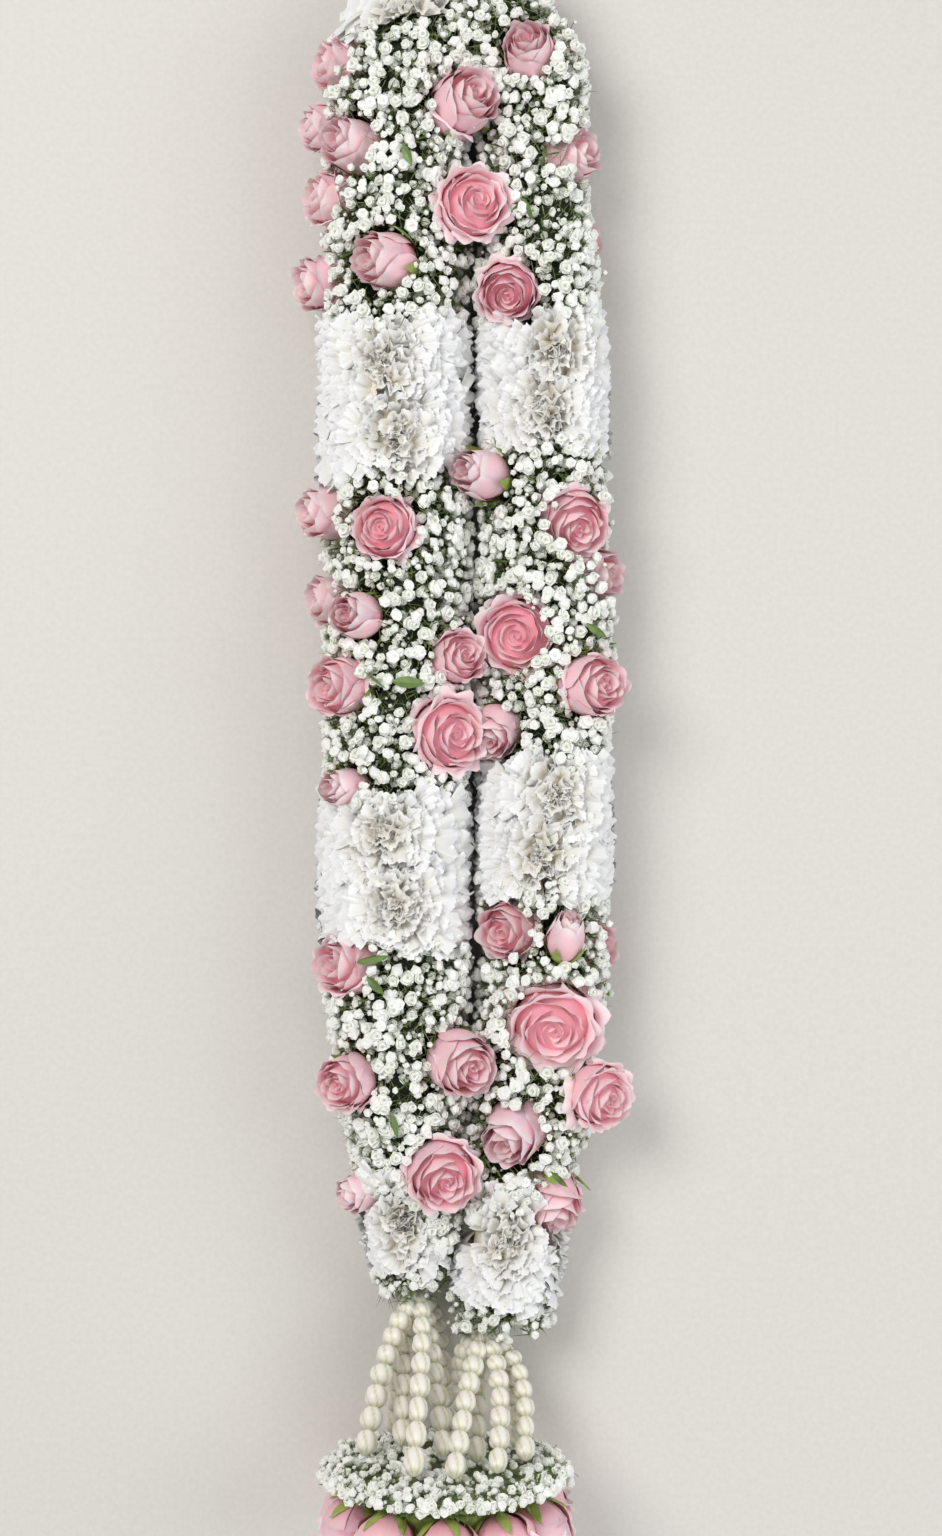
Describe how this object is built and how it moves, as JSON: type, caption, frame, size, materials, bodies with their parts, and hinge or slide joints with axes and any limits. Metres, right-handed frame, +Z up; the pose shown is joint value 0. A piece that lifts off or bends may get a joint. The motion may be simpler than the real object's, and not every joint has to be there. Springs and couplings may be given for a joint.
{
  "type": "flower garland",
  "caption": "Fresh flower lei laid flat: two rose and baby's breath strands with carnation bands join at a neck bend and lead by jasmine strings to a round pendant",
  "frame": {"origin": "middle of the laid-out lei's outline, on the surface that it lies on", "axes": "+X across the two strands, +Y along the lei from the pendant to the neck bend, +Z up from the surface"},
  "size_m": [0.2204, 1.0049, 0.1695],
  "materials": {
    "rose_petals": "soft matte petals, pale pink rims and deeper pink hearts",
    "carnation_petals": "soft matte frilled petals, creamy white",
    "baby_breath": "small white double florets over green stems",
    "jasmine_buds": "smooth waxy cream buds",
    "cotton_cord": "twisted cotton",
    "card_base": "green card wrapped with leaves"
  },
  "bodies": {
    "root": {"carnations_foot_left": "carnation_petals", "carnations_foot_right": "carnation_petals", "carnations_lower_left": "carnation_petals", "carnations_lower_right": "carnation_petals", "carnations_neck": "carnation_petals", "carnations_upper_left": "carnation_petals", "carnations_upper_right": "carnation_petals", "core_cord": "cotton_cord", "gypsophila_lower_left": "baby_breath", "gypsophila_lower_right": "baby_breath", "gypsophila_middle_left": "baby_breath", "gypsophila_middle_right": "baby_breath", "gypsophila_pendant": "baby_breath", "gypsophila_skirt_left": "baby_breath", "gypsophila_skirt_right": "baby_breath", "gypsophila_upper_left": "baby_breath", "gypsophila_upper_right": "baby_breath", "jasmine_strings_left": "jasmine_buds", "jasmine_strings_right": "jasmine_buds", "pendant_pad": "card_base", "pendant_roses": "rose_petals", "rose_lower_left_1": "rose_petals", "rose_lower_left_2": "rose_petals", "rose_lower_left_3": "rose_petals", "rose_lower_left_4": "rose_petals", "rose_lower_left_5": "rose_petals", "rose_lower_right_1": "rose_petals", "rose_lower_right_2": "rose_petals", "rose_lower_right_3": "rose_petals", "rose_lower_right_4": "rose_petals", "rose_lower_right_5": "rose_petals", "rose_lower_right_6": "rose_petals", "rose_lower_right_7": "rose_petals", "rose_middle_left_1": "rose_petals", "rose_middle_left_2": "rose_petals", "rose_middle_left_3": "rose_petals", "rose_middle_left_4": "rose_petals", "rose_middle_left_5": "rose_petals", "rose_middle_left_6": "rose_petals", "rose_middle_left_7": "rose_petals", "rose_middle_left_8": "rose_petals", "rose_middle_right_1": "rose_petals", "rose_middle_right_2": "rose_petals", "rose_middle_right_3": "rose_petals", "rose_middle_right_4": "rose_petals", "rose_middle_right_5": "rose_petals", "rose_middle_right_6": "rose_petals", "rose_upper_left_1": "rose_petals", "rose_upper_left_2": "rose_petals", "rose_upper_left_3": "rose_petals", "rose_upper_left_4": "rose_petals", "rose_upper_left_5": "rose_petals", "rose_upper_left_6": "rose_petals", "rose_upper_left_7": "rose_petals", "rose_upper_left_8": "rose_petals", "rose_upper_right_1": "rose_petals", "rose_upper_right_2": "rose_petals", "rose_upper_right_3": "rose_petals", "rose_upper_right_4": "rose_petals", "rose_upper_right_5": "rose_petals"}
  },
  "joints": []
}
